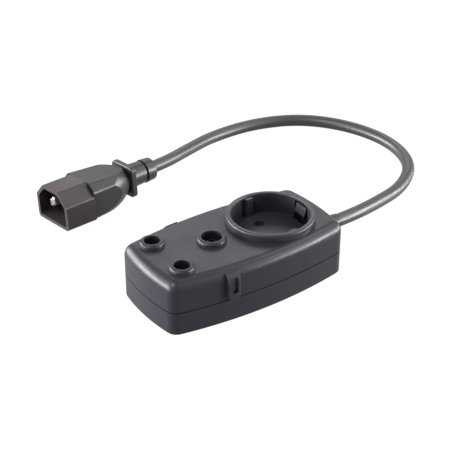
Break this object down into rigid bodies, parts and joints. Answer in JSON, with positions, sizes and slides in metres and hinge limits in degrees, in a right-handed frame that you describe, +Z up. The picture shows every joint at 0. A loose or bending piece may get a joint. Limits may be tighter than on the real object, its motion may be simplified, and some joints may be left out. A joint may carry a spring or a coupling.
{
  "type": "mains measuring adapter",
  "caption": "Mains measuring adapter: two-shell case with a round earthed socket, raised test sockets, and an inlet plug on a short cord.",
  "frame": {"origin": "middle of the case's base, on the surface that it stands on", "axes": "+X along the case towards the mains socket and the cord, +Y towards the side where the cord and plug lie, +Z up"},
  "size_m": [0.2132, 0.1645, 0.0326],
  "materials": {
    "case": "fine satin grain",
    "socket_plastic": "satin",
    "carrier_plastic": "satin",
    "sleeve_plastic": "satin",
    "steel_screws": "zinc plated",
    "contact_brass": "nickel-plated brass",
    "spring_metal": "nickel plated spring strip",
    "soft_black": "satin soft plastic",
    "cord_black": "smooth flexible sheath",
    "plug_plastic": "satin",
    "clamp_plastic": "plain",
    "lead_brown": "smooth insulation",
    "lead_blue": "smooth insulation",
    "lead_green_yellow": "striped insulation"
  },
  "bodies": {
    "case": {"top_shell": "case", "bottom_shell": "case", "socket_insert": "socket_plastic", "contact_carrier": "carrier_plastic", "test_sleeve_back": "sleeve_plastic", "test_sleeve_front": "sleeve_plastic", "test_sleeve_middle": "sleeve_plastic", "case_screws": "steel_screws", "carrier_screws": "steel_screws", "clamp_screws": "steel_screws", "plug_terminal_screws": "steel_screws", "plug_cover_screw": "steel_screws", "plug_clamp_screws": "steel_screws", "live_contact": "contact_brass", "neutral_contact": "contact_brass", "earth_strip": "contact_brass", "test_contact_back": "contact_brass", "test_contact_front": "contact_brass", "test_contact_middle": "contact_brass", "test_tags": "contact_brass", "test_nuts": "contact_brass", "plug_pin_live": "contact_brass", "plug_pin_neutral": "contact_brass", "plug_pin_earth": "contact_brass", "cord_bush": "soft_black", "plug_neck_sleeve": "soft_black", "cord_sheath": "cord_black", "sheath_end_in_case": "cord_black", "sheath_end_in_plug": "cord_black", "plug_body": "plug_plastic", "plug_cover": "plug_plastic", "cord_clamp": "clamp_plastic", "plug_clamp": "clamp_plastic", "lead_live": "lead_brown", "test_lead_live": "lead_brown", "plug_lead_live": "lead_brown", "lead_neutral": "lead_blue", "test_lead_neutral": "lead_blue", "plug_lead_neutral": "lead_blue", "lead_earth": "lead_green_yellow", "test_lead_earth": "lead_green_yellow", "plug_lead_earth": "lead_green_yellow"},
    "left_clip": {"earth_clip_left": "spring_metal"},
    "right_clip": {"earth_clip_right": "spring_metal"}
  },
  "joints": [
    {"name": "earth_clip_left_flex", "type": "hinge", "parent": "case", "child": "left_clip", "pos_m": [0.0017, 0, 0.0189], "axis": [0, -1, 0], "range_deg": [0, 4.5], "stiffness_Nm_per_rad": 0.5, "springref_deg": -1.72},
    {"name": "earth_clip_right_flex", "type": "hinge", "parent": "case", "child": "right_clip", "pos_m": [0.0417, 0, 0.0189], "axis": [0, 1, 0], "range_deg": [0, 4.5], "stiffness_Nm_per_rad": 0.5, "springref_deg": -1.72}
  ]
}
